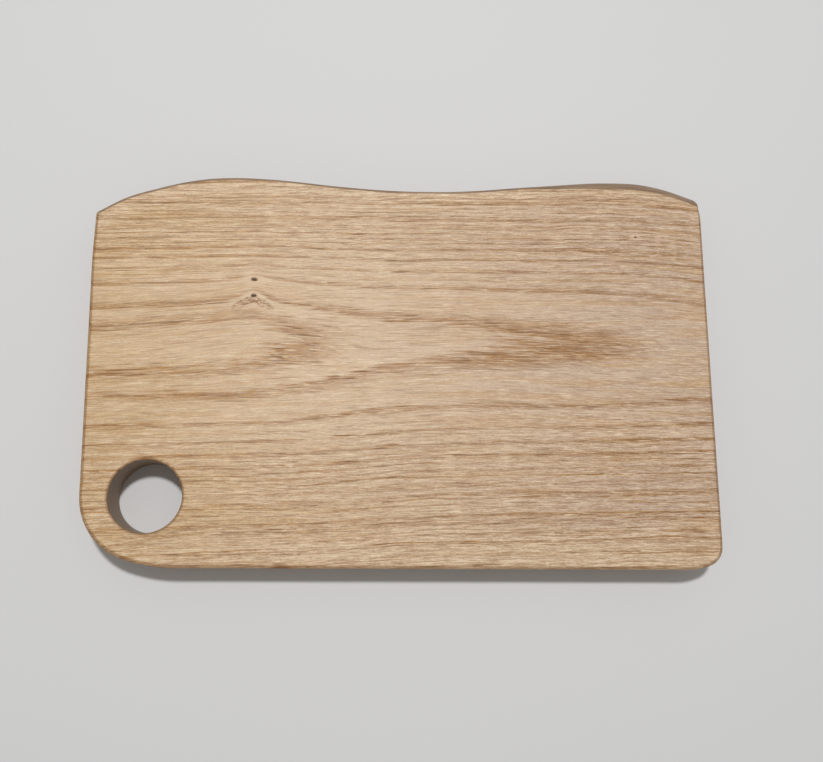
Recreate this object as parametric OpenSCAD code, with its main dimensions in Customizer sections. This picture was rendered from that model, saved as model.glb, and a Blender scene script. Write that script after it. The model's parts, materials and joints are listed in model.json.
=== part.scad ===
// Bread board: one plank of solid oak, with a straight front edge, two sawn ends, a waney
// live edge along the back and a round hole near the front left corner to hold or hang it by.
// Millimetres. +X runs along the grain, +Y from the straight edge to the live edge, +Z up.
// The origin is the middle of the plank's bounding box, on the underside.

/* [Plank] */
// Length along the grain
board_l = 296; // [260:1:360]
// Width from the straight edge to the highest crest of the live edge
board_w = 192; // [170:1:230]
// Thickness
board_t = 22; // [18:1:30]
// Radius of the rounding around both faces
edge_r = 1.5; // [0.5:0.1:1.8]

/* [Live edge] */
// How far the sloping wane reaches in over the upper face, at the right end of the live edge
wane_w = 5; // [3:0.5:7]
// How far down the back the wane starts
wane_d = 4; // [3:0.5:8]
// Where along X the wane starts to open out of the plain rounding
wane_from = 40; // [20:1:60]
// Length along X over which it opens to its full width
wane_run = 55; // [30:1:60]

/* [Hole] */
// Diameter of the hole's wall
hole_d = 32; // [24:1:35]
// From the left end to the hole's centre
hole_from_end = 31.5; // [30:0.5:45]
// From the straight edge to the hole's centre
hole_from_front = 31; // [30:0.5:45]
// Radius of the rounding around the hole's two rims
rim_r = 1; // [0.5:0.1:2]

/* [Hidden] */

$fn = 96;

half_l = board_l / 2;
half_w = board_w / 2;
// The outline keeps its shape when the length changes: its places and radii scale together.
k = board_l / 296;

// Outline stations: at most this turn and this length from one to the next.
max_turn = 6;
max_step = 7;
// Steps in the rounding between a face and the sides.
round_steps = 4;
// The wane runs out down the right end, over this length below this drop from the back.
wane_end_drop = 19;
wane_end_run = 9;
// The wane's slope lies between a quarter ellipse, 0, and a straight bevel, 1.
wane_flat = 0.65;

// A corner of the guide polygon, as [x, y, radius], set from the straight edge or the live edge.
function front(x, inset, r) = [x * k, -half_w + inset * k, r * k];
function back(x, drop, r) = [x * k, half_w - drop * k, r * k];

// The guide polygon, counter-clockwise from the front left. Each corner is rounded by its own
// radius, and the long radii along the back draw the two low crests and the hollow between them.
corners = [
    front(-113.5, 0, 70),
    front(136.5, 0, 31),
    front(148, 4.8, 9.5),
    back(147.6, 7.7, 3),
    back(125, 0, 84),
    back(96, 0, 200),
    back(23, 10.9, 380),
    back(-24, 11, 450),
    back(-63, 8.1, 280),
    back(-98.5, 8.1, 115),
    back(-134, 20, 60),
    back(-147.8, 28.8, 2),
    back(-148, 50, 300),
    front(-144.2, 10.2, 30),
];

function xy(c) = [c[0], c[1]];
function unit(v) = v / norm(v);
function smooth(t) = let (u = min(max(t, 0), 1)) u * u * (3 - 2 * u);
function mix(a, b, t) = a + (b - a) * t;

// Where the outline leaves the straight side for a corner's arc, and how the arc runs:
// [start point, heading in, signed turn, radius, reach along each side].
function arc_at(i) =
    let (
        n = len(corners),
        here = xy(corners[i]),
        d_in = unit(here - xy(corners[(i + n - 1) % n])),
        d_out = unit(xy(corners[(i + 1) % n]) - here),
        heading = atan2(d_in.y, d_in.x),
        turn = atan2(d_in.x * d_out.y - d_in.y * d_out.x, d_in * d_out),
        r = corners[i][2],
        reach = r * tan(abs(turn) / 2)
    )
    [here - d_in * reach, heading, turn, r, here + d_out * reach];

// Stations [x, y, heading] along one corner's arc, both of its ends included.
function arc_stations(i) =
    let (
        a = arc_at(i),
        side = sign(a[2]),
        centre = a[0] + side * a[3] * [-sin(a[1]), cos(a[1])],
        length = abs(a[2]) * PI / 180 * a[3],
        steps = max(ceil(abs(a[2]) / max_turn), ceil(length / max_step))
    )
    [
        for (s = [0:steps])
            let (h = a[1] + a[2] * s / steps)
            [centre.x + side * a[3] * sin(h), centre.y - side * a[3] * cos(h), h]
    ];

// Stations along the straight side after a corner, its two ends left out.
function side_stations(i) =
    let (
        a = arc_at(i),
        from = a[4],
        to = arc_at((i + 1) % len(corners))[0],
        steps = max(ceil(norm(to - from) / max_step), 1)
    )
    [
        for (s = [1:1:steps - 1])
            let (p = mix(from, to, s / steps))
            [p.x, p.y, a[1] + a[2]]
    ];

stations = [for (i = [0:len(corners) - 1]) each concat(arc_stations(i), side_stations(i))];

// How far the wane has opened at a station, from 0, plain rounding, to 1.
function wane(s) =
    smooth((s.x - wane_from * k) / (wane_run * k))
    * smooth((s.y - half_w + wane_end_drop * k) / (wane_end_run * k));

// One point of the side's section at a station. a runs from 0, where the rounding leaves the
// vertical side, to 1, on the face. The wane adds a slope that leans towards the front.
function round_point(s, a, open) =
    let (
        across = 1 - cos(90 * a),
        rise = sin(90 * a),
        lean = mix(across, a, wane_flat),
        climb = mix(rise, a, wane_flat),
        inset = edge_r * across,
        drop = mix(edge_r * (1 - rise), wane_d * (1 - climb), open)
    )
    [
        s.x - inset * sin(s[2]),
        s.y + inset * cos(s[2]) - open * (wane_w - edge_r) * lean,
        drop
    ];

function low_ring(a) = [for (s = stations) round_point(s, a, 0)];
function high_ring(a) =
    [for (s = stations) let (p = round_point(s, a, wane(s))) [p.x, p.y, board_t - p.z]];

rings = concat(
    [for (j = [round_steps:-1:0]) low_ring(j / round_steps)],
    [for (j = [0:round_steps]) high_ring(j / round_steps)]
);

// The plank without its hole: rings joined by triangles, and each face a fan from its middle.
module blank() {
    n = len(stations);
    last = len(rings) - 1;
    middle_low = n * (last + 1);
    polyhedron(
        points = concat(
            [for (ring = rings) each ring],
            [[0, 0, 0], [0, 0, board_t]]
        ),
        faces = concat(
            [for (i = [0:n - 1]) [middle_low, i, (i + 1) % n]],
            [for (i = [0:n - 1]) [middle_low + 1, last * n + (i + 1) % n, last * n + i]],
            [for (j = [0:last - 1], i = [0:n - 1]) [j * n + i, (j + 1) * n + i, j * n + (i + 1) % n]],
            [
                for (j = [0:last - 1], i = [0:n - 1])
                    [(j + 1) * n + i, (j + 1) * n + (i + 1) % n, j * n + (i + 1) % n]
            ]
        )
    );
}

// What the hole removes at the upper face's rim: a ring whose inner side is the rounding.
module rim_cut() {
    rotate_extrude()
        difference() {
            translate([hole_d / 2 - 1, board_t - rim_r])
                square([rim_r + 1, rim_r + 1]);
            translate([hole_d / 2 + rim_r, board_t - rim_r])
                circle(rim_r);
        }
}

module hole() {
    translate([-half_l + hole_from_end, -half_w + hole_from_front, 0]) {
        translate([0, 0, -1])
            cylinder(d = hole_d, h = board_t + 2);
        rim_cut();
        translate([0, 0, board_t])
            mirror([0, 0, 1])
                rim_cut();
    }
}

module board() {
    color("burlywood")
        difference() {
            blank();
            hole();
        }
}

board();
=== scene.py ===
"""The looks of the oak bread board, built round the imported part, in metres and in its frame."""

import json
import math

import bpy
import numpy as np
from mathutils import Matrix, Vector, noise
from mathutils.geometry import delaunay_2d_cdt


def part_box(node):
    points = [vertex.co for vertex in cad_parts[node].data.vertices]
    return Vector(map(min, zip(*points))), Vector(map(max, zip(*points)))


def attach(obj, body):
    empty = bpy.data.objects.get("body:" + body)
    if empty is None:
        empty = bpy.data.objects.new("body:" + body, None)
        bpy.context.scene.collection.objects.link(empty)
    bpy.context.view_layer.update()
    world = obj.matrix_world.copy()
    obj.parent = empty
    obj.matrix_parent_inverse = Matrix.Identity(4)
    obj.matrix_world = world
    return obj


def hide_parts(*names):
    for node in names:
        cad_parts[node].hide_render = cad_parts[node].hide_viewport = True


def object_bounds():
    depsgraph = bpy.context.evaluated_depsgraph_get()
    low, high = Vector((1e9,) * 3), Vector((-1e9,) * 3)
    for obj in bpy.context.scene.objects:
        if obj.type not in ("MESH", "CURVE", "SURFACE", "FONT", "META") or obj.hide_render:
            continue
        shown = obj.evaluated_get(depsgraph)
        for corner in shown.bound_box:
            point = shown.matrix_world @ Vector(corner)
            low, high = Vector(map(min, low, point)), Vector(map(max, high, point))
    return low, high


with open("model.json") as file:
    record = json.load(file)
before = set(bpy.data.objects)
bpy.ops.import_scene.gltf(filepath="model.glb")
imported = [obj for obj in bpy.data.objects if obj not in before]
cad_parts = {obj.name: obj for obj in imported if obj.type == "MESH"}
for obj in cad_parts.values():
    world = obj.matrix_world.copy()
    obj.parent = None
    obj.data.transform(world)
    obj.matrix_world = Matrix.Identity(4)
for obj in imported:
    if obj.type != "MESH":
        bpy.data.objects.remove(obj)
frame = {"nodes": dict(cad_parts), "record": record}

MM = 0.001

# ---------------------------------------------------------------- what the frame says

cad_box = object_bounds()
low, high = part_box("board")
hole = next(m for m in frame["record"]["mounts"] if m["name"] == "hanging_hole")
HOLE_X, HOLE_Y = hole["pos_m"][:2]
HOLE_R = hole["dims"]["r_mm"] * MM
TOP = high.z
# The wall of the hole is as long as the plank is thick, less a rounding at each rim.
RIM_R = (TOP - hole["dims"]["length_mm"] * MM) / 2

# ---------------------------------------------------------------- the plank's edges

EDGE_R = 1.5 * MM
# The wane: how far its slope reaches in, how far down it starts, and where it opens and closes.
WANE_W = 5 * MM
WANE_D = 4 * MM
WANE_FROM = 45 * MM
WANE_RUN = 58 * MM
WANE_END_DROP = 19 * MM
WANE_END_RUN = 9 * MM
# The wane's slope lies between a quarter ellipse, 0, and a straight bevel, 1.
WANE_FLAT = 0.9
# How much the hand-rounded edges vary, the furrows of the live edge, and the waves that sanding left.
EDGE_VARIES = 0.18
FURROWS = 0.55 * MM
SANDING = 0.05 * MM

# Spacing of the mesh: along the outline, over the two faces, and up the sides.
OUTLINE_STEP = 1.5 * MM
FACE_STEP = 1.75 * MM
WALL_ROWS = 10
ROUND_ROWS = 7
HOLE_SIDES = 144

# ---------------------------------------------------------------- the tree that the plank was cut from

# From here to the knots, lengths are in millimetres.
# The pith runs this far below the upper face at the right end.
PITH_DEPTH = 60.6
# It comes nearer to the face towards the left end, in rises given as [from x, run, height].
PITH_RISES = ((-85.0, 90.0, 2.1), (-60.0, 230.0, 1.7), (70.0, 90.0, 1.0))
# It lies at this Y on the right, and drifts to the front on the left of the bend.
PITH_Y = 9.6
PITH_DRIFT = 0.055
PITH_BEND = 22.0
# The tree grew a little faster on the side of the straight edge.
FRONT_SQUEEZE = 0.88

# Small dead knots: [x, y] on the upper face, length and width of the pit, depth of the pit.
KNOTS = (
    (-73.2, 36.7, 3.4, 2.1, 0.5),
    (-73.2, 28.8, 3.2, 1.9, 0.5),
    (112.9, 65.7, 1.8, 1.1, 0.35),
)
# The branch under the two knots pushes the rings aside, sharply near it and gently further off.
BRANCH_X, BRANCH_Y = -73.2, 31.0
# The fibres bend round it less than the rings do.
FIBRE_BEND = 0.4
# The centre of the arch that the fibres make under the second knot is this far in front of it.
ARCH_DROP = 12.0
# How far a branch moves along Y for each millimetre that it climbs from the pith.
BRANCH_LEAN = 0.42


def smooth(t):
    t = np.clip(t, 0, 1)
    return t * t * (3 - 2 * t)


def bell(t):
    return np.exp(-t * t)


def in_the_log(points, bend=1.0):
    """Points of the plank as [along, across, height over the pith] in the straight round log.

    bend is how much of the rings' sharp bend at the knots is straightened out."""
    x, y, z = (np.asarray(points, float) / MM).T
    depth = TOP / MM - z
    up = y + BRANCH_LEAN * depth
    knot = 7.0 * bend / (1 + ((x - BRANCH_X) / 6.5) ** 2) * bell((up - BRANCH_Y) / 9.5)
    shoulder = 4.9 / (1 + ((x - BRANCH_X) / 36) ** 2) * bell((up - 12) / 16)
    sag = (1.6 * bell((x - 28) / 26) + 2.6 * bell((x + 22) / 53)) * smooth((5 - y) / 50)
    swell = 5.0 * bell((x - 122) / 64) * smooth((y - 5) / 50)
    swell -= 2.1 * smooth((x - 10) / 70) * smooth(-y / 18)
    left = PITH_BEND - x
    pith_y = PITH_Y - PITH_DRIFT * (left + np.hypot(left, 5)) / 2
    across = y - knot - shoulder + sag - swell - pith_y
    across = np.where(across < 0, across * FRONT_SQUEEZE, across)
    over_pith = PITH_DEPTH - depth
    for start, run, rise in PITH_RISES:
        over_pith = over_pith - rise * (1 - smooth((x - start) / run))
    return np.column_stack([x, across, over_pith])


# ---------------------------------------------------------------- the plank's mesh


def cad_outline():
    """The plank's outline, counter-clockwise: the CAD node's corners at the foot of its sides."""
    corners = set()
    for vertex in frame["nodes"]["board"].data.vertices:
        x, y, z = vertex.co
        outside_hole = math.dist((x, y), (HOLE_X, HOLE_Y)) > 1.3 * HOLE_R
        if outside_hole and abs(z - EDGE_R) < 0.02 * MM:
            corners.add((round(x, 6), round(y, 6)))
    ring = np.array(sorted(corners, key=lambda c: math.atan2(c[1], c[0])))
    return ring[np.linalg.norm(np.roll(ring, -1, axis=0) - ring, axis=1) > 0.1 * MM]


def smooth_loop(points, step):
    """Points about step apart along a smooth closed curve through the given points."""
    ahead = np.roll(points, -1, axis=0) - points
    gap = np.linalg.norm(ahead, axis=1)[:, None]
    behind, gap_behind = np.roll(ahead, 1, axis=0), np.roll(gap, 1, axis=0)
    slope = (ahead / gap * gap_behind + behind / gap_behind * gap) / (gap + gap_behind)
    result = []
    for i, start in enumerate(points):
        j = (i + 1) % len(points)
        pieces = max(1, round(gap[i, 0] / step))
        for t in np.arange(pieces) / pieces:
            pull = t * (1 - t) * gap[i]
            point = start + smooth(t) * ahead[i]
            result.append(point + pull * ((1 - t) * slope[i] - t * slope[j]))
    return np.array(result)


def outward(loop):
    """The outward unit normal at each point of a counter-clockwise loop."""
    along = np.roll(loop, -1, axis=0) - np.roll(loop, 1, axis=0)
    along /= np.linalg.norm(along, axis=1)[:, None]
    return np.column_stack([along[:, 1], -along[:, 0]])


def ripple(x, y, z, size, seed):
    """Smooth noise from -1 to 1 at a point, with features of the given sizes."""
    return noise.noise(Vector((x / size[0] + seed, y / size[1], z / size[2])))


def furrows(loop, z):
    """Depth, up to about 1, of the shallow lengthwise furrows that were under the bark."""
    long, short = (0.045, 0.045, 0.0035), (0.012, 0.012, 0.0016)
    return np.array(
        [
            0.35 * (1 + ripple(px, py, pz, long, 1.3)) + 0.2 * (1 + ripple(px, py, pz, short, 9.1))
            for px, py, pz in np.column_stack([loop, z])
        ]
    )


def board_sides(loop):
    """The rings of points round the plank, from the lower face to the upper one."""
    out = outward(loop)
    x, y = loop.T
    wane = smooth((x - WANE_FROM) / WANE_RUN) * smooth((y - high.y + WANE_END_DROP) / WANE_END_RUN)
    hand = np.array([ripple(px, py, 0, (0.03, 0.03, 1), 3.7) for px, py in loop])
    edge_r = EDGE_R * (1 + EDGE_VARIES * hand)
    live = live_edge(loop, out)
    rings = []
    for a in np.linspace(1, 0, ROUND_ROWS + 1):
        inset = edge_r * (1 - math.cos(a * math.pi / 2))
        z = edge_r * (1 - math.sin(a * math.pi / 2))
        rings.append((inset, np.zeros_like(x), z, 1 - a))
    foot = edge_r
    head = TOP - edge_r * (1 - wane) - WANE_D * wane
    for t in np.linspace(0, 1, WALL_ROWS + 1)[1:-1]:
        rings.append((np.zeros_like(x), np.zeros_like(x), foot + (head - foot) * t, 1.0))
    for a in np.linspace(0, 1, ROUND_ROWS + 1):
        across, rise = 1 - math.cos(a * math.pi / 2), math.sin(a * math.pi / 2)
        lean = across + (a - across) * WANE_FLAT
        climb = rise + (a - rise) * WANE_FLAT
        drop = edge_r * (1 - rise) * (1 - wane) + WANE_D * (1 - climb) * wane
        shift = wane * (WANE_W - EDGE_R) * lean
        rings.append((edge_r * across, shift, TOP - drop, 1 - a))
    result = []
    for inset, shift, z, wall in rings:
        push = inset + live * wall * FURROWS * furrows(loop, z)
        ring = loop - out * push[:, None]
        result.append(np.column_stack([ring[:, 0], ring[:, 1] - shift, z]))
    return result


def live_edge(loop, out):
    """1 where the outline is the tree's own edge, 0 where it was sawn."""
    return smooth((out[:, 1] - 0.25) / 0.3) * smooth((loop[:, 1] - high.y + 34 * MM) / (6 * MM))


def hole_rings():
    """Rings of points down the hole's wall, from the upper rim to the lower one."""
    turn = np.linspace(0, 2 * math.pi, HOLE_SIDES, endpoint=False)
    circle = np.column_stack([np.cos(turn), np.sin(turn)])
    section = [
        (HOLE_R + RIM_R * (1 - math.sin(a)), TOP - RIM_R * (1 - math.cos(a)))
        for a in np.linspace(0, math.pi / 2, ROUND_ROWS)
    ]
    heights = np.linspace(TOP - RIM_R, RIM_R, WALL_ROWS)[1:-1]
    section += [(HOLE_R, z) for z in heights]
    section += [(r, TOP - z) for r, z in reversed(section[:ROUND_ROWS])]
    centre = np.array([HOLE_X, HOLE_Y])
    return [np.column_stack([centre + r * circle, np.full(HOLE_SIDES, z)]) for r, z in section]


def face_points(outer, inner):
    """Points over a face: an even grid, and close rings round each knot."""
    step = FACE_STEP
    rows = []
    for j, y in enumerate(np.arange(low.y, high.y, step * math.sqrt(3) / 2)):
        xs = np.arange(low.x + (j % 2) * step / 2, high.x, step)
        rows.append(np.column_stack([xs, np.full(len(xs), y)]))
    grid = np.concatenate(rows)
    fine = []
    for kx, ky, length, width, _ in KNOTS:
        centre = np.array([kx, ky]) * MM
        grid = grid[np.linalg.norm(grid - centre, axis=1) > (length + 0.6) * MM]
        fine.append(centre[None])
        for radius in np.arange(0.3, length, 0.3):
            sides = max(6, round(2 * math.pi * radius / 0.35))
            turn = np.linspace(0, 2 * math.pi, sides, endpoint=False) + radius
            fine.append(centre + radius * MM * np.column_stack([np.cos(turn), np.sin(turn)]))
    grid = np.concatenate([grid, *fine])
    return grid[inside(grid, outer) & (clearance(grid, np.concatenate([outer, inner])) > 0.5 * step)
                & (np.linalg.norm(grid - [HOLE_X, HOLE_Y], axis=1) > HOLE_R + RIM_R)]


def clearance(points, others):
    """How far each point is from the nearest of the others."""
    return np.array([np.linalg.norm(others - p, axis=1).min() for p in points])


def inside(points, loop):
    """Whether each point is inside a closed loop."""
    x, y = points.T
    result = np.zeros(len(points), bool)
    for (ax, ay), (bx, by) in zip(loop, np.roll(loop, -1, axis=0)):
        if ay != by:
            crosses = (ay > y) != (by > y)
            result ^= crosses & (x < (bx - ax) * (y - ay) / (by - ay) + ax)
    return result


def face_triangles(outer, inner, middle):
    """Triangles between a face's outer and inner loops, as indices into [outer, inner, middle]."""
    count, around = len(outer), len(inner)
    flat = [Vector(p) for p in np.concatenate([outer, inner, middle])]
    edges = [(i, (i + 1) % count) for i in range(count)]
    edges += [(count + i, count + (i + 1) % around) for i in range(around)]
    _, _, faces, origin, _, _ = delaunay_2d_cdt(flat, edges, [], 1, 1e-9)
    rim = range(count, count + around)
    corners = [[origin[i][0] for i in face] for face in faces]
    return [face for face in corners if not all(i in rim for i in face)]


def band(first, second, count):
    """The triangles between two rings of count points, counter-clockwise from outside."""
    result = []
    for i in range(count):
        j = (i + 1) % count
        result += [(first + i, first + j, second + j), (first + i, second + j, second + i)]
    return result


def pitted(points):
    """The upper face's height at each point: flat but for the knots' pits and a trace of sanding."""
    z = np.full(len(points), TOP)
    x, y = points.T
    edge = np.minimum.reduce([x - low.x, high.x - x, y - low.y, high.y - y])
    fade = smooth((edge - 4 * MM) / (25 * MM))
    waves = np.array([1 + ripple(px, py, 0, (0.06, 0.035, 1), 5.5) for px, py in points])
    z -= SANDING * fade * waves
    for kx, ky, length, width, depth in KNOTS:
        away = np.hypot((x / MM - kx) / length, (y / MM - ky) / width) * 2
        z -= depth * MM * (1 - smooth(away / 1.15))
    return z


def board_mesh():
    loop = smooth_loop(cad_outline(), OUTLINE_STEP)
    count = len(loop)
    sides = board_sides(loop)
    wall = hole_rings()
    vertices = [*sides, *wall]
    triangles = []
    for k in range(len(sides) - 1):
        triangles += band(k * count, (k + 1) * count, count)
    first_wall = len(sides) * count
    for k in range(len(wall) - 1):
        ring = first_wall + k * HOLE_SIDES
        triangles += band(ring, ring + HOLE_SIDES, HOLE_SIDES)
    used = first_wall + len(wall) * HOLE_SIDES
    for outer_at, inner_at, upper in (
        ((len(sides) - 1) * count, first_wall, True),
        (0, first_wall + (len(wall) - 1) * HOLE_SIDES, False),
    ):
        outer = (sides[-1] if upper else sides[0])[:, :2]
        inner = (wall[0] if upper else wall[-1])[:, :2]
        middle = face_points(outer, inner)
        runs = ((outer_at, count), (inner_at, HOLE_SIDES), (used, len(middle)))
        where = np.concatenate([start + np.arange(length) for start, length in runs])
        for a, b, c in face_triangles(outer, inner, middle):
            if not upper:
                b, c = c, b
            triangles.append((where[a], where[b], where[c]))
        z = pitted(middle) if upper else np.zeros(len(middle))
        vertices.append(np.column_stack([middle, z]))
        used += len(middle)
    points = np.clip(np.concatenate(vertices), cad_box[0], cad_box[1])
    mesh = bpy.data.meshes.new("board")
    mesh.from_pydata(points.tolist(), [], [tuple(int(i) for i in t) for t in triangles])
    mesh.shade_smooth()
    add_attribute(mesh, "log", "FLOAT_VECTOR", "vector", in_the_log(points))
    add_attribute(mesh, "fibres", "FLOAT_VECTOR", "vector", in_the_log(points, FIBRE_BEND))
    live = live_edge(loop, outward(loop))
    from_live = clearance(points[:, :2], loop[live > 0.5]) / MM
    add_attribute(mesh, "from_live_edge", "FLOAT", "value", from_live)
    # 0 on the two faces, 1 on the sides and all roundings, and 2 down the wall of the hole.
    side = np.zeros(len(points))
    side[:first_wall] = 1
    rows = np.arange(len(wall))
    depth = smooth(np.minimum(rows, rows[::-1]) / ROUND_ROWS)
    side[first_wall : first_wall + len(wall) * HOLE_SIDES] = np.repeat(1 + depth, HOLE_SIDES)
    add_attribute(mesh, "side", "FLOAT", "value", side)
    bark_side = np.zeros(len(points))
    bark_side[:first_wall] = np.tile(live, len(sides))
    add_attribute(mesh, "bark_side", "FLOAT", "value", bark_side)
    return mesh


def add_attribute(mesh, name, kind, field, values):
    attribute = mesh.attributes.new(name, kind, "POINT")
    attribute.data.foreach_set(field, np.asarray(values, np.float32).ravel())


# ---------------------------------------------------------------- materials


class Tree:
    """Short ways to write a material's nodes."""

    def __init__(self, name):
        self.material = bpy.data.materials.new(name)
        self.material.use_nodes = True
        self.nodes = self.material.node_tree.nodes
        self.links = self.material.node_tree.links
        self.nodes.clear()

    def feed(self, socket, value):
        if isinstance(value, bpy.types.NodeSocket):
            self.links.new(value, socket)
        elif value is not None:
            socket.default_value = value

    def node(self, kind, settings=None, inputs=None):
        made = self.nodes.new(kind)
        for name, value in (settings or {}).items():
            setattr(made, name, value)
        for name, value in (inputs or {}).items():
            self.feed(made.inputs[name], value)
        return made

    def attribute(self, name, output):
        return self.node("ShaderNodeAttribute", {"attribute_name": name}).outputs[output]

    def math(self, operation, a, b=None, c=None, clamp=False):
        settings = {"operation": operation, "use_clamp": clamp}
        return self.node("ShaderNodeMath", settings, {0: a, 1: b, 2: c}).outputs[0]

    def vector(self, operation, a, b=None):
        return self.node("ShaderNodeVectorMath", {"operation": operation}, {0: a, 1: b}).outputs[0]

    def length(self, vector):
        made = self.node("ShaderNodeVectorMath", {"operation": "LENGTH"}, {0: vector})
        return made.outputs["Value"]

    def split(self, vector):
        return self.node("ShaderNodeSeparateXYZ", inputs={0: vector}).outputs

    def join(self, x, y, z):
        return self.node("ShaderNodeCombineXYZ", inputs={0: x, 1: y, 2: z}).outputs[0]

    def step(self, value, start, end, low=0.0, high=1.0):
        """A smooth step from low to high as value goes from start to end."""
        settings = {"interpolation_type": "SMOOTHSTEP"}
        inputs = {"Value": value, "From Min": start, "From Max": end, "To Min": low, "To Max": high}
        return self.node("ShaderNodeMapRange", settings, inputs).outputs["Result"]

    def noise(self, vector, cell, seed=0.0, detail=2.0, rough=0.5):
        """Noise about 0.5 whose features measure cell = (x, y, z)."""
        scale = [1 / side for side in cell]
        placed = self.node(
            "ShaderNodeVectorMath",
            {"operation": "MULTIPLY_ADD"},
            {0: vector, 1: scale, 2: (seed, seed * 1.7, -seed)},
        ).outputs[0]
        inputs = {"Vector": placed, "Scale": 1.0, "Detail": detail, "Roughness": rough}
        return self.node("ShaderNodeTexNoise", inputs=inputs).outputs["Fac"]

    def white_noise(self, value):
        """A random number from 0 to 1 for each different value."""
        settings = {"noise_dimensions": "1D"}
        return self.node("ShaderNodeTexWhiteNoise", settings, {"W": value}).outputs["Value"]

    def mix(self, factor, a, b, blend="MIX"):
        made = self.node("ShaderNodeMix", {"data_type": "RGBA", "blend_type": blend})
        self.feed(made.inputs[0], factor)
        self.feed(made.inputs[6], (*a, 1) if isinstance(a, tuple) else a)
        self.feed(made.inputs[7], (*b, 1) if isinstance(b, tuple) else b)
        return made.outputs[2]

    def ramp(self, value, stops):
        """Grey values along a ramp; stops are (place from 0 to 1, grey)."""
        made = self.node("ShaderNodeValToRGB", inputs={0: value})
        elements = made.color_ramp.elements
        while len(elements) < len(stops):
            elements.new(0.5)
        for element, (place, grey) in zip(elements, stops):
            element.position = place
            element.color = (grey, grey, grey, 1)
        return made.outputs[0]


def srgb(red, green, blue):
    """A colour given as display values, each over 10 and up to 255, as the shader's linear ones."""
    return tuple(((c / 255 + 0.055) / 1.055) ** 2.4 for c in (red, green, blue))


# The open-pored early wood of the rings that show most: [radius, darkness, width], in millimetres.
INNER_RINGS = (
    (56.2, 0.95, 1.3),
    (58.5, 1.0, 1.6),
    (63.3, 0.8, 1.5),
    (65.6, 0.3, 0.9),
    (67.4, 0.8, 1.0),
    (70.4, 0.9, 1.3),
    (73.3, 0.95, 1.5),
)
OUTER_RINGS = (
    (77.0, 0.5, 1.1),
    (80.9, 0.45, 1.2),
    (83.8, 0.7, 1.5),
    (90.0, 0.8, 1.5),
    (92.2, 0.6, 1.4),
    (95.8, 0.5, 1.0),
    (98.6, 0.6, 1.3),
    (102.0, 0.55, 1.1),
)


def strong_rings(tree, radius, rings):
    """Darkness of the given rings: each starts sharply at its inner side and fades outwards."""
    start = rings[0][0] - 1
    span = rings[-1][0] + rings[-1][2] - start
    stops = [(0.0, 0.0)]
    for inner, dark, width in rings:
        place = (inner - start) / span
        stops += [(place, 0.0), (place + 0.25 * width / span, dark), (place + width / span, 0.0)]
    return tree.ramp(tree.math("DIVIDE", tree.math("SUBTRACT", radius, start), span), stops)


def knot_marks(tree, place):
    """How dark, how pale and how arched the wood is at a place, in millimetres, near the knots."""
    x, y, z = tree.split(place)
    y = tree.math("MULTIPLY_ADD", tree.math("SUBTRACT", TOP / MM, z), BRANCH_LEAN, y)
    ragged = tree.math("MULTIPLY", tree.noise(place, (0.9, 0.6, 0.9), 3.0), 0.9)
    dark, pale = 0.0, 0.0
    for kx, ky, length, width, _ in KNOTS:
        along = tree.math("MULTIPLY", tree.math("SUBTRACT", x, kx), 2 / length)
        aside = tree.math("MULTIPLY", tree.math("SUBTRACT", y, ky), 2 / width)
        away = tree.math("ADD", tree.length(tree.join(along, aside, 0.0)), ragged)
        dark = tree.math("MAXIMUM", dark, tree.step(away, 1.55, 0.9))
        halo = tree.math("MULTIPLY", tree.step(away, 1.3, 2.0), tree.step(away, 5.0, 2.2))
        pale = tree.math("MAXIMUM", pale, halo)
    # Under the lower knot the fibres close again, in a dark arch over a pale patch.
    kx, ky = KNOTS[1][:2]
    beside = tree.math("ABSOLUTE", tree.math("SUBTRACT", x, kx))
    above = tree.math("SUBTRACT", y, ky - ARCH_DROP)
    away = tree.math("MULTIPLY_ADD", ragged, 2.2, tree.length(tree.join(beside, above, 0.0)))
    arch = tree.math("MULTIPLY", tree.step(away, 8.3, 9.3), tree.step(away, 12.8, 11.8))
    arch = tree.math("MULTIPLY", arch, tree.step(above, 4.0, 7.0))
    patch = tree.join(tree.math("MULTIPLY", beside, 0.5), tree.math("SUBTRACT", above, 7.6), 0.0)
    patch = tree.length(patch)
    pale = tree.math("MAXIMUM", pale, tree.step(patch, 2.6, 0.8))
    return dark, pale, arch


def fibre_noises(tree, log, fibres):
    """Noises drawn out along the fibres, from single pores to bundles, and one along the log."""
    return {
        "grain": tree.noise(fibres, (1.5, 0.3, 0.3), 37.0, 2.0, 0.6),
        "fine": tree.noise(fibres, (7.0, 0.5, 0.5), 11.0, 3.0, 0.75),
        "medium": tree.noise(fibres, (26.0, 0.95, 0.95), 5.0, 3.0, 0.65),
        "coarse": tree.noise(fibres, (44.0, 2.6, 2.6), 17.0),
        "broad": tree.noise(log, (70.0, 9.0, 9.0), 23.0),
    }


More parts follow.
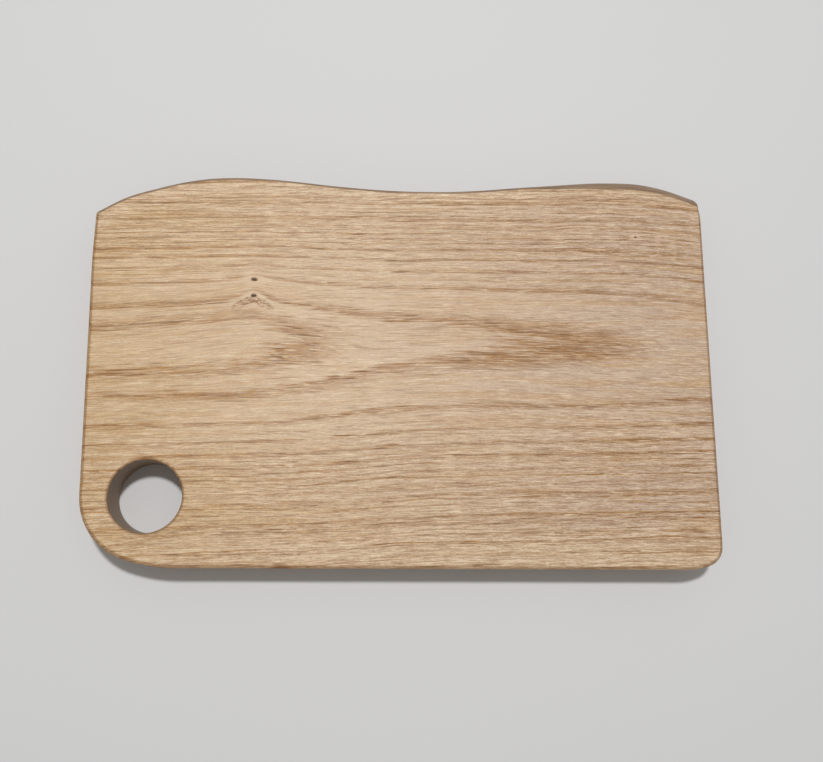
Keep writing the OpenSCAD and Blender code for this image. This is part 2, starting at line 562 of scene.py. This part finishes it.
def early_wood(tree, log, radius, noises):
    """How much early wood there is at a place, in strong rings and in thin ones between them."""
    # The rings are feathered by the fibres that they cross.
    uneven = radius
    for name, reach in (("coarse", 1.0), ("medium", 1.2), ("fine", 0.9)):
        shift = tree.math("SUBTRACT", noises[name], 0.5)
        uneven = tree.math("MULTIPLY_ADD", shift, reach, uneven)
    inner, outer = (strong_rings(tree, uneven, rings) for rings in (INNER_RINGS, OUTER_RINGS))
    strong = tree.math("MAXIMUM", inner, outer)
    # There are about 0.62 thin rings to a millimetre.
    year = tree.math("MULTIPLY", tree.math("ADD", radius, uneven), 0.31)
    year = tree.math("MULTIPLY_ADD", noises["coarse"], 0.6, year)
    year = tree.math("MULTIPLY_ADD", noises["broad"], 1.8, year)
    part = tree.math("FRACT", year)
    number = tree.white_noise(tree.math("FLOOR", year))
    thin = tree.math("MULTIPLY", tree.step(part, 0.0, 0.06), tree.step(part, 0.08, 0.38, 1.0, 0.0))
    thin = tree.math("MULTIPLY", thin, tree.math("MULTIPLY_ADD", number, 0.9, 0.45), clamp=True)
    fading = tree.step(tree.noise(log, (60.0, 4.0, 4.0), 29.0, 1.0), 0.35, 0.55, 0.5, 1.0)
    thin = tree.math("MULTIPLY", thin, fading)
    thin = tree.math("MULTIPLY", thin, tree.step(radius, 66.0, 76.0, 0.15, 0.95))
    broken = tree.step(noises["medium"], 0.34, 0.56, 0.35, 1.15)
    return tree.math("MULTIPLY", tree.math("MAXIMUM", strong, thin), broken, clamp=True)


def wood_tones(tree, x, radius, fibres, noises):
    """The colours of late and of early wood, with the slow drift of tone over the plank."""
    to_right = tree.step(tree.math("MULTIPLY_ADD", noises["coarse"], 60.0, x), -110.0, 190.0)
    late = tree.mix(to_right, srgb(212, 179, 134), srgb(205, 178, 156))
    late = tree.mix(tree.step(noises["broad"], 0.3, 0.7, 0.0, 0.5), late, srgb(222, 193, 160))
    ochre = tree.step(tree.noise(fibres, (60.0, 2.4, 2.4), 71.0, 1.0), 0.48, 0.68, 0.0, 0.5)
    late = tree.mix(ochre, late, srgb(203, 163, 112))
    near_bark = tree.step(tree.attribute("from_live_edge", "Fac"), 11.0, 5.0)
    sapwood = tree.math("MAXIMUM", tree.step(radius, 93.0, 100.0), near_bark)
    late = tree.mix(tree.math("MULTIPLY", sapwood, 0.6), late, srgb(228, 201, 168))
    return late, tree.mix(to_right, srgb(172, 121, 55), srgb(163, 115, 60))


def with_fibres(tree, colour, early, radius, fibres, noises):
    """The colour with the fibres' pale and dark streaks over it, and the pores among them."""
    pale = tree.step(tree.noise(fibres, (10.0, 0.38, 0.38), 41.0), 0.53, 0.66, 0.0, 0.6)
    colour = tree.mix(pale, colour, srgb(238, 214, 182))
    streak = tree.math("SUBTRACT", noises["grain"], 0.5)
    streak = tree.step(tree.math("MULTIPLY_ADD", streak, 0.5, noises["fine"]), 0.3, 0.7)
    streak = tree.mix(streak, (0.63, 0.52, 0.39), (1.23, 1.29, 1.36))
    # The flat-cut middle of the plank is smoother than where the rings stand steeper.
    lively = tree.step(radius, 58.0, 76.0, 0.5, 0.85)
    lively = tree.math("MULTIPLY_ADD", early, 0.35, lively, clamp=True)
    colour = tree.mix(lively, colour, streak, "MULTIPLY")
    pores = tree.step(tree.noise(fibres, (18.0, 0.55, 0.55), 31.0, 1.0), 0.58, 0.67)
    pores = tree.math("MULTIPLY", pores, tree.math("MULTIPLY_ADD", early, 0.6, 0.24), clamp=True)
    return tree.mix(pores, colour, srgb(128, 90, 54)), pores


def with_knots(tree, colour, place, fibres):
    """The colour with the small dead knots and the wood that closes round them."""
    dark, halo, arch = knot_marks(tree, place)
    broken = tree.step(tree.noise(fibres, (1.8, 0.55, 0.55), 47.0), 0.42, 0.56, 0.05, 1.0)
    colour = tree.mix(tree.math("MULTIPLY", halo, 0.4), colour, srgb(232, 203, 170))
    colour = tree.mix(tree.math("MULTIPLY", arch, broken), colour, srgb(152, 106, 58))
    return tree.mix(dark, colour, srgb(84, 60, 52))


def with_sides(tree, colour, noises):
    """The colour with darker sides and roundings, partly from the oil they drink and partly painted
    shade, the wall of the hole darker still with painted shade, and a brown live edge.
    """
    side = tree.attribute("side", "Fac")
    # Painted shade on the sides and roundings, over the real darkening where the cut wood drinks more
    # oil.
    oil_and_painted_shade = tree.mix(1.0, colour, srgb(186, 164, 138), "MULTIPLY")
    colour = tree.mix(tree.step(side, 0.8, 0.98, 0.0, 0.6), colour, oil_and_painted_shade)
    # Painted shade down the wall of the hole, darkest between its two rounded rims, over its
    # oil-darkened cut wood.
    colour = tree.mix(tree.step(side, 1.0, 1.8, 0.0, 0.6), colour, srgb(108, 88, 66))
    ribs = tree.step(noises["medium"], 0.35, 0.65)
    ribbed = tree.mix(ribs, srgb(118, 94, 74), srgb(158, 132, 108))
    bark_side = tree.attribute("bark_side", "Fac")
    return tree.mix(tree.step(bark_side, 0.75, 0.98, 0.0, 0.8), colour, ribbed)


def oak():
    """Flat-sawn oak, oiled: every pattern is a solid one, so that it runs on round the edges."""
    tree = Tree("oiled_oak")
    log = tree.attribute("log", "Vector")
    fibres = tree.attribute("fibres", "Vector")
    place = tree.node("ShaderNodeTexCoord").outputs["Object"]
    place = tree.vector("MULTIPLY", place, (1 / MM, 1 / MM, 1 / MM))
    x, across, height = tree.split(log)
    radius = tree.length(tree.join(0.0, across, height))
    noises = fibre_noises(tree, log, fibres)

    early = early_wood(tree, log, radius, noises)
    late_tone, early_tone = wood_tones(tree, x, radius, fibres, noises)
    colour = tree.mix(early, late_tone, early_tone)
    bundles = tree.step(noises["medium"], 0.52, 0.74, 0.0, 0.28)
    colour = tree.mix(bundles, colour, early_tone)
    colour, pores = with_fibres(tree, colour, early, radius, fibres, noises)
    colour = with_knots(tree, colour, place, fibres)
    colour = with_sides(tree, colour, noises)

    fine = noises["fine"]
    roughness = tree.math("MULTIPLY_ADD", pores, 0.2, tree.step(fine, 0.3, 0.7, 0.42, 0.52))
    relief = tree.math("SUBTRACT", tree.math("MULTIPLY", fine, 0.5), pores)
    depth = {"Strength": 0.35, "Distance": 0.06 * MM}
    bump = tree.node("ShaderNodeBump", inputs={**depth, "Height": relief})
    shader = tree.node(
        "ShaderNodeBsdfPrincipled",
        inputs={"Base Color": colour, "Roughness": roughness, "Normal": bump.outputs[0]},
    )
    tree.node("ShaderNodeOutputMaterial", inputs={"Surface": shader.outputs[0]})
    return tree.material


def pale_floor():
    tree = Tree("pale_floor")
    place = tree.node("ShaderNodeTexCoord").outputs["Object"]
    shade = tree.noise(place, (0.4, 0.4, 0.4), 2.0)
    colour = tree.mix(shade, (0.74, 0.74, 0.74), (0.78, 0.78, 0.78))
    shader = tree.node("ShaderNodeBsdfPrincipled", inputs={"Base Color": colour, "Roughness": 0.8})
    tree.node("ShaderNodeOutputMaterial", inputs={"Surface": shader.outputs[0]})
    return tree.material


# ---------------------------------------------------------------- the scene


def add(name, data):
    made = bpy.data.objects.new(name, data)
    bpy.context.scene.collection.objects.link(made)
    return made


def look(obj, eye, aim):
    """Puts obj at eye, looking at aim."""
    turn = (Vector(aim) - Vector(eye)).to_track_quat("-Z", "Y").to_matrix()
    obj.matrix_world = Matrix.Translation(eye) @ turn.to_4x4()


# The camera is held over the board, a little to the left and well to the front of its middle.
EYE = Vector((-34.65, -85.55, 397.7)) * MM
SIGHT = Vector((0.09345, 0.1958, -0.97618))
LENS = 36.04


def camera():
    data = bpy.data.cameras.new("camera")
    data.lens = LENS
    data.sensor_width = 36.0
    data.clip_start = 0.01
    made = add("camera", data)
    right = Vector((0.99531, 0.00632, 0.09655))
    up = right.cross(SIGHT)
    made.matrix_world = Matrix.Translation(EYE) @ Matrix((right, up, -SIGHT)).transposed().to_4x4()
    bpy.context.scene.camera = made


def lights():
    key = bpy.data.lights.new("key", "AREA")
    key.shape = "DISK"
    key.size = 0.12
    key.energy = 11.4
    # High over the live edge, so that the shadows fall narrow and to the front.
    distance, height = 1.4, math.radians(76)
    direction = Vector((-0.03, math.cos(height), math.sin(height)))
    middle = Vector((0, 0, TOP))
    look(add("key", key), middle + distance * direction, middle)
    world = bpy.data.worlds.new("studio")
    world.use_nodes = True
    background = world.node_tree.nodes["Background"].inputs
    background["Color"].default_value = (1.0, 0.99, 0.97, 1)
    background["Strength"].default_value = 0.3
    bpy.context.scene.world = world
    bpy.context.scene.view_settings.view_transform = "Standard"


def floor():
    mesh = bpy.data.meshes.new("floor")
    half = 4.0
    corners = [(-half, -half, 0), (half, -half, 0), (half, half, 0), (-half, half, 0)]
    mesh.from_pydata(corners, [], [(0, 1, 2, 3)])
    mesh.materials.append(pale_floor())
    add("floor", mesh)


camera()
lights()
floor()

board = add("oak_board", board_mesh())
board.data.materials.append(oak())
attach(board, "root")
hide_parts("board")
